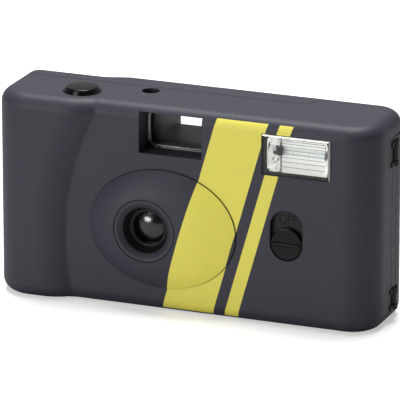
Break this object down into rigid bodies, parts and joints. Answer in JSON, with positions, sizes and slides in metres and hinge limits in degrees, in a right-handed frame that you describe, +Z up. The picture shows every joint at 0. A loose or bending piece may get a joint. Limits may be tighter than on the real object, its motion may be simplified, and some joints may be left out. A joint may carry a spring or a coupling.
{
  "type": "compact 35 mm film camera",
  "caption": "Compact film camera in matt grey plastic with a raised grip, domed lens fascia, viewfinder, built-in flash with a slide switch and a hinged film door.",
  "frame": {"origin": "centre of the flat base, midway between the left and right sides, on the base plane", "axes": "+X to the right of the front view, the front faces -Y, +Z up"},
  "size_m": [0.1197, 0.034, 0.0637],
  "materials": {
    "casing_grey": "fine matt moulded plastic",
    "black_plastic": "satin black plastic",
    "chassis_black": "dull black inner moulding",
    "gloss_black": "glossy black plastic",
    "clear_plastic": "clear moulded window",
    "lens_glass": "coated lens glass",
    "flash_lens": "ribbed clear flash window",
    "flash_glass": "clear flash tube",
    "reflector": "bright metallised reflector",
    "plated_steel": "nickel-plated steel",
    "spring_steel": "spring steel",
    "black_metal": "black-coated sheet",
    "brass_contact": "contact sheet",
    "board_green": "circuit board",
    "capacitor_black": "sleeved can",
    "lamp_orange": "tinted lamp",
    "seal_foam": "light seal strip"
  },
  "bodies": {
    "casing": {"front_shell": "casing_grey", "rear_shell": "casing_grey", "lens_fascia": "casing_grey", "lens_ring": "casing_grey", "hinge_brackets": "black_plastic", "hinge_pins": "plated_steel", "latch_spring": "spring_steel", "film_chassis": "chassis_black", "light_tunnel": "chassis_black", "mechanism_deck": "chassis_black", "battery_holder": "chassis_black", "ratchet_leaf": "spring_steel", "counter_window": "clear_plastic", "rewind_button_spring": "spring_steel", "lens_barrel": "black_plastic", "lens_retainer": "gloss_black", "lens_element": "lens_glass", "aperture_plate": "black_metal", "shutter_base": "chassis_black", "shutter_spring": "spring_steel", "button_spring": "spring_steel", "finder_tunnel": "black_plastic", "finder_window": "clear_plastic", "eyepiece_frame": "black_plastic", "eyepiece_lens": "clear_plastic", "flash_cover": "flash_lens", "flash_frame": "black_plastic", "flash_reflector": "reflector", "flash_tube": "flash_glass", "switch_panel": "black_plastic", "switch_contact": "brass_contact", "flash_board": "board_green", "flash_capacitor": "capacitor_black", "flash_transformer": "board_green", "ready_lamp": "lamp_orange", "battery_hinge_pin": "plated_steel", "battery_spring": "spring_steel", "case_screws": "plated_steel"},
    "door": {"film_door": "casing_grey", "door_hinge_leaves": "black_plastic", "door_light_seals": "seal_foam", "pressure_spring": "spring_steel"},
    "plate": {"pressure_plate": "black_metal"},
    "latch": {"door_latch": "black_plastic"},
    "button": {"shutter_button": "gloss_black"},
    "lever": {"release_lever": "plated_steel"},
    "switch": {"flash_switch": "gloss_black"},
    "wheel": {"thumbwheel": "black_plastic"},
    "spool": {"takeup_spool": "chassis_black"},
    "sprocket": {"sprocket_wheel": "chassis_black"},
    "dial": {"counter_dial": "black_plastic"},
    "blade": {"shutter_blade": "black_metal"},
    "rewind": {"rewind_hub": "black_plastic", "rewind_fork": "chassis_black"},
    "crank": {"crank_arm": "black_plastic"},
    "knob": {"crank_knob": "black_plastic"},
    "rewind_release": {"rewind_button": "black_plastic"},
    "hatch": {"battery_door": "casing_grey", "battery_contact": "brass_contact"}
  },
  "joints": [
    {"name": "film_door_hinge", "type": "hinge", "parent": "casing", "child": "door", "pos_m": [0.05875, 0.005, 0.031], "axis": [0, 0, -1], "range_deg": [0, 120]},
    {"name": "pressure_plate_float", "type": "slide", "parent": "door", "child": "plate", "axis": [0, 1, 0], "range_m": [0, 0.0004], "stiffness_N_per_m": 2000, "deforming": ["pressure_spring"]},
    {"name": "door_latch_slide", "type": "slide", "parent": "casing", "child": "latch", "axis": [0, 0, 1], "range_m": [0, 0.003], "stiffness_N_per_m": 300, "deforming": ["latch_spring"]},
    {"name": "shutter_button_press", "type": "slide", "parent": "casing", "child": "button", "axis": [0, 0, -1], "range_m": [0, 0.0009], "stiffness_N_per_m": 3300, "deforming": ["button_spring"]},
    {"name": "release_lever_rock", "type": "hinge", "parent": "casing", "child": "lever", "pos_m": [-0.0255, -0.0104, 0.0505], "axis": [0, -1, 0], "range_deg": [0, 6]},
    {"name": "flash_switch_slide", "type": "slide", "parent": "casing", "child": "switch", "axis": [0, 0, 1], "range_m": [0, 0.0051]},
    {"name": "thumbwheel_spin", "type": "hinge", "parent": "casing", "child": "wheel", "pos_m": [-0.044, 0.0023, 0.0505], "axis": [0, 0, 1], "continuous": true},
    {"name": "takeup_spool_spin", "type": "hinge", "parent": "casing", "child": "spool", "pos_m": [-0.044, 0.0023, 0.024], "axis": [0, 0, 1], "continuous": true},
    {"name": "sprocket_wheel_spin", "type": "hinge", "parent": "casing", "child": "sprocket", "pos_m": [-0.0286, 0.00695, 0.0408], "axis": [0, 0, 1], "continuous": true},
    {"name": "counter_dial_spin", "type": "hinge", "parent": "casing", "child": "dial", "pos_m": [-0.0215, -0.001, 0.057], "axis": [0, 0, 1], "continuous": true},
    {"name": "shutter_blade_swing", "type": "hinge", "parent": "casing", "child": "blade", "pos_m": [-0.0173, -0.00925, 0.0334], "axis": [0, 1, 0], "range_deg": [0, 32], "stiffness_Nm_per_rad": 0.0002, "springref_deg": -28.65},
    {"name": "rewind_hub_spin", "type": "hinge", "parent": "casing", "child": "rewind", "pos_m": [0.0435, 0.00255, 0.0015], "axis": [0, 0, 1], "continuous": true},
    {"name": "crank_arm_fold", "type": "hinge", "parent": "rewind", "child": "crank", "pos_m": [0.0355, 0.00255, 0.00065], "axis": [0, 1, 0], "range_deg": [0, 135]},
    {"name": "crank_knob_spin", "type": "hinge", "parent": "crank", "child": "knob", "pos_m": [0.0497, 0.00255, 0.0013], "axis": [0, 0, 1], "continuous": true},
    {"name": "rewind_button_press", "type": "slide", "parent": "casing", "child": "rewind_release", "axis": [0, 0, 1], "range_m": [0, 0.00075], "stiffness_N_per_m": 500, "deforming": ["rewind_button_spring"]},
    {"name": "battery_door_hinge", "type": "hinge", "parent": "casing", "child": "hatch", "pos_m": [0.0242, -0.0042, 0.001], "axis": [0, -1, 0], "range_deg": [0, 105]}
  ],
  "couplings": [
    {"joint": "release_lever_rock", "follows": "shutter_button_press", "rad_per_m": 111.1},
    {"joint": "takeup_spool_spin", "follows": "thumbwheel_spin", "ratio": 1},
    {"joint": "counter_dial_spin", "follows": "sprocket_wheel_spin", "ratio": -0.025}
  ]
}
